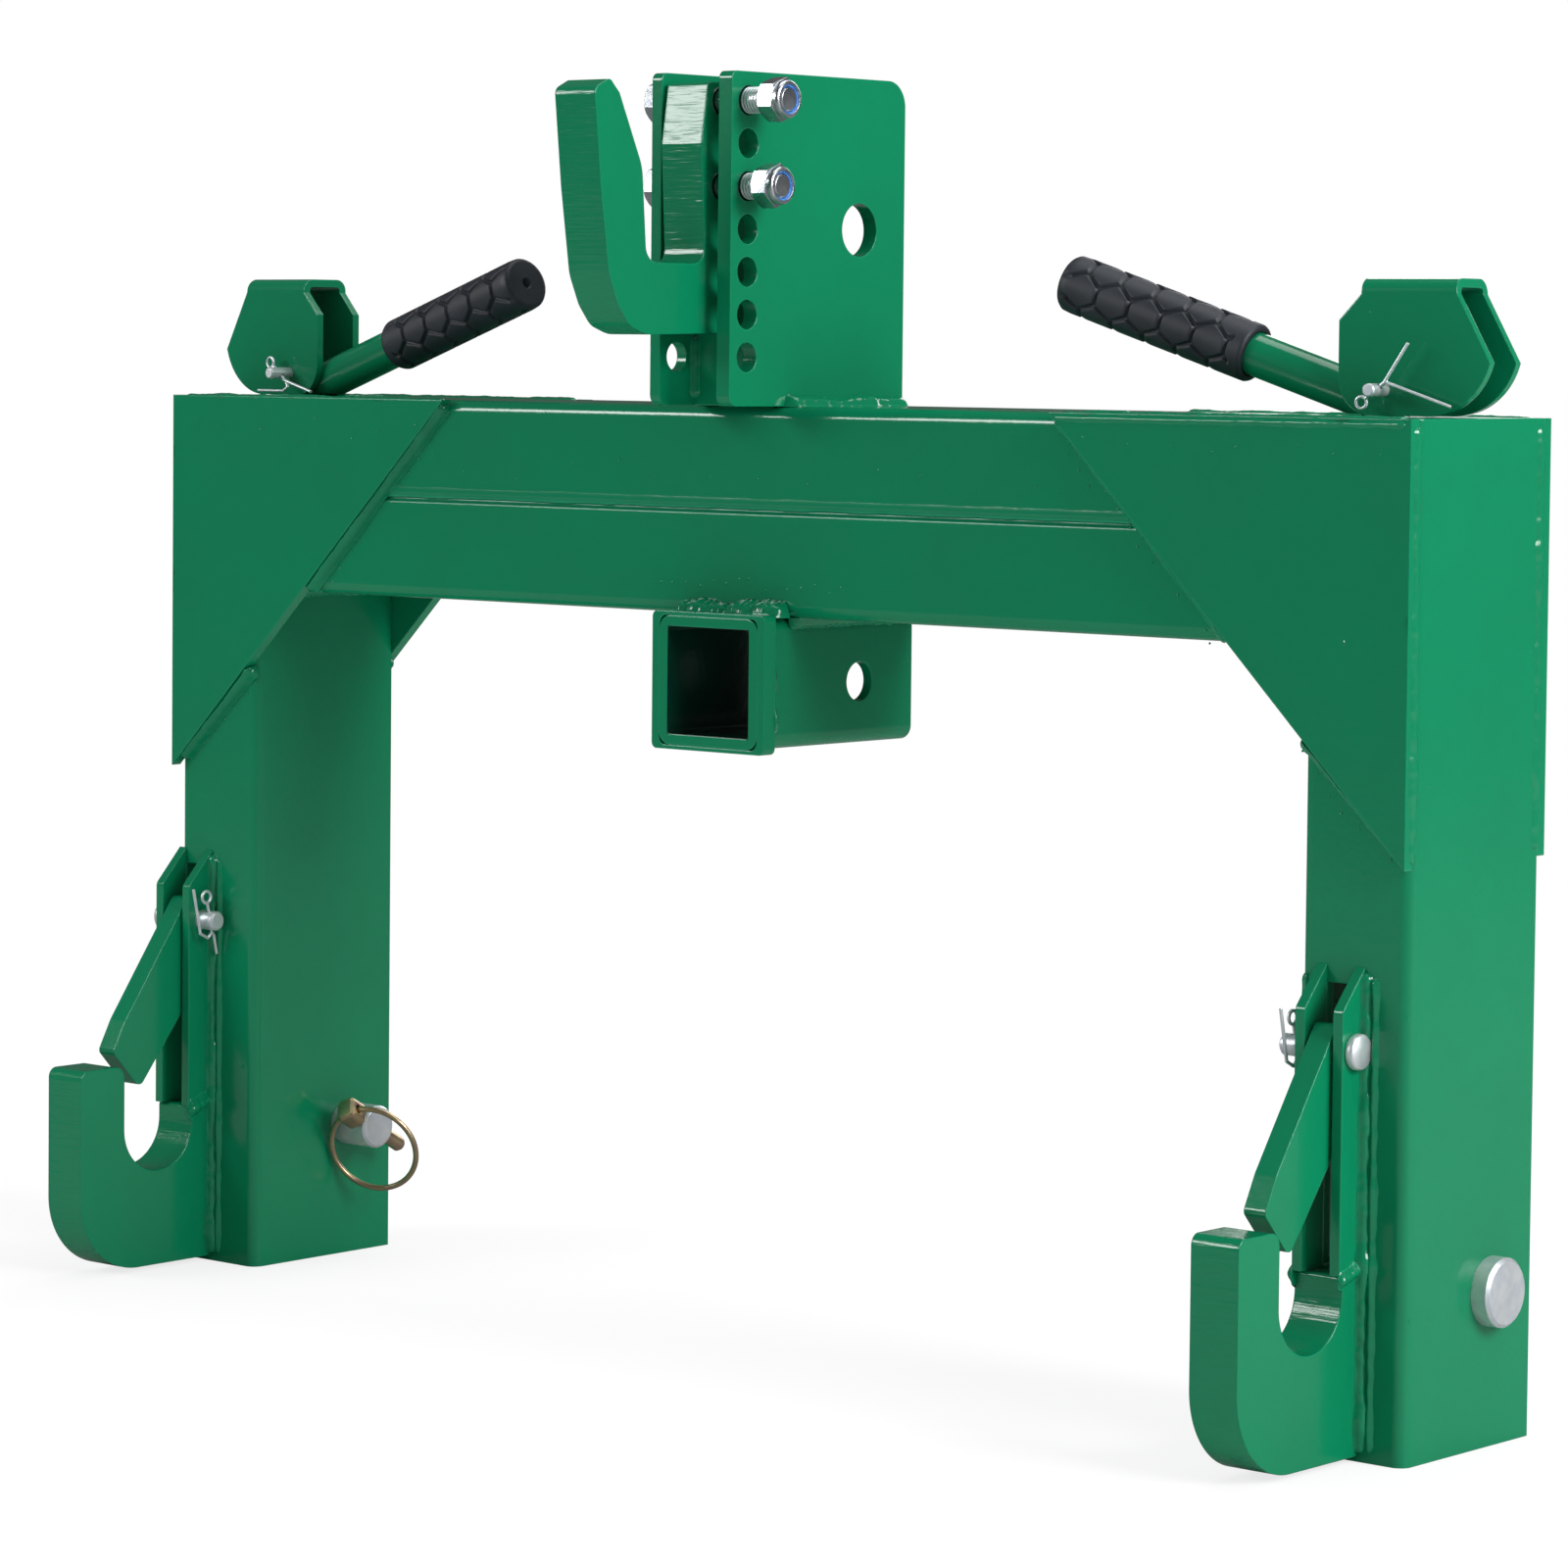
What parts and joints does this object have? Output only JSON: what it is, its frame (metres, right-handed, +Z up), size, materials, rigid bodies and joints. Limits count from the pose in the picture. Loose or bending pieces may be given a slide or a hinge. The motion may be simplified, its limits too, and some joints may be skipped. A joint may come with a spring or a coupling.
{
  "type": "three point quick hitch",
  "caption": "Welded implement hitch frame with a bolted top hook, two latched lower hooks opened by levers on the legs, a receiver tube and lower link pins.",
  "frame": {"origin": "bottom centre of the bounding box, level with the feet", "axes": "+X to the hitch's right as seen from the implement side in front of it, +Y from the hooks towards the tractor, +Z up"},
  "size_m": [0.793, 0.216, 0.61],
  "materials": {
    "green_coat": "glossy powder coat",
    "zinc": "bright zinc plating",
    "yellow_zinc": "yellow zinc plating",
    "grip_rubber": "matt",
    "blue_nylon": "matt",
    "spring_steel": "oiled"
  },
  "bodies": {
    "frame": {"upper_beam_channel": "green_coat", "lower_beam_channel": "green_coat", "left_leg_channel": "green_coat", "left_leg_cap": "green_coat", "right_leg_channel": "green_coat", "right_leg_cap": "green_coat", "front_left_gusset": "green_coat", "front_right_gusset": "green_coat", "rear_left_gusset": "green_coat", "rear_right_gusset": "green_coat", "left_mast_plate": "green_coat", "right_mast_plate": "green_coat", "mast_spacer": "green_coat", "top_hook": "green_coat", "top_hook_bolts": "zinc", "top_hook_nuts": "zinc", "nut_inserts": "blue_nylon", "receiver_tube": "green_coat", "receiver_collar": "green_coat", "left_lower_hook": "green_coat", "left_inner_cheek": "green_coat", "left_outer_cheek": "green_coat", "left_latch_pin": "zinc", "left_latch_clip": "zinc", "left_link_pin": "zinc", "left_linch_pin": "yellow_zinc", "left_return_spring": "spring_steel", "right_lower_hook": "green_coat", "right_inner_cheek": "green_coat", "right_outer_cheek": "green_coat", "right_latch_pin": "zinc", "right_latch_clip": "zinc", "right_link_pin": "zinc", "right_linch_pin": "yellow_zinc", "right_return_spring": "spring_steel"},
    "left_rod": {"left_pull_rod": "zinc", "left_tail_pin": "zinc", "left_rod_collar": "zinc"},
    "left_lever": {"left_lever_bracket": "green_coat", "left_handle_tube": "green_coat", "left_grip": "grip_rubber", "left_lever_pin": "zinc", "left_lever_clip": "zinc"},
    "left_latch_arm": {"left_latch": "green_coat"},
    "left_ring": {"left_linch_ring": "yellow_zinc"},
    "right_rod": {"right_pull_rod": "zinc", "right_tail_pin": "zinc", "right_rod_collar": "zinc"},
    "right_lever": {"right_lever_bracket": "green_coat", "right_handle_tube": "green_coat", "right_grip": "grip_rubber", "right_lever_pin": "zinc", "right_lever_clip": "zinc"},
    "right_latch_arm": {"right_latch": "green_coat"},
    "right_ring": {"right_linch_ring": "yellow_zinc"}
  },
  "joints": [
    {"name": "left_rod_slide", "type": "slide", "parent": "frame", "child": "left_rod", "axis": [0, 0, 1], "range_m": [0, 0.044], "deforming": ["left_return_spring"]},
    {"name": "left_lever_hinge", "type": "hinge", "parent": "left_rod", "child": "left_lever", "pos_m": [-0.343, 0.054, 0.4652], "axis": [-0.0865, -0.9963, 0], "range_deg": [0, 90]},
    {"name": "left_latch_hinge", "type": "hinge", "parent": "frame", "child": "left_latch_arm", "pos_m": [-0.375, -0.0032, 0.18], "axis": [1, 0, 0], "range_deg": [0, 42.08]},
    {"name": "left_ring_hinge", "type": "hinge", "parent": "frame", "child": "left_ring", "pos_m": [-0.3112, 0.0554, 0.0779], "axis": [-0.8829, -0.2347, -0.4066], "range_deg": [0, 105]},
    {"name": "right_rod_slide", "type": "slide", "parent": "frame", "child": "right_rod", "axis": [0, 0, 1], "range_m": [0, 0.044], "deforming": ["right_return_spring"]},
    {"name": "right_lever_hinge", "type": "hinge", "parent": "right_rod", "child": "right_lever", "pos_m": [0.343, 0.054, 0.4652], "axis": [-0.0865, 0.9963, 0], "range_deg": [0, 90]},
    {"name": "right_latch_hinge", "type": "hinge", "parent": "frame", "child": "right_latch_arm", "pos_m": [0.3517, -0.0032, 0.18], "axis": [1, 0, 0], "range_deg": [0, 42.08]},
    {"name": "right_ring_hinge", "type": "hinge", "parent": "frame", "child": "right_ring", "pos_m": [0.3112, 0.0554, 0.0779], "axis": [-0.8829, 0.2347, 0.4066], "range_deg": [0, 105]}
  ],
  "couplings": [
    {"joint": "left_rod_slide", "follows": "left_lever_hinge", "m_per_rad": 0.028011},
    {"joint": "left_latch_hinge", "follows": "left_lever_hinge", "ratio": 0.46756},
    {"joint": "right_rod_slide", "follows": "right_lever_hinge", "m_per_rad": 0.028011},
    {"joint": "right_latch_hinge", "follows": "right_lever_hinge", "ratio": 0.46756}
  ]
}
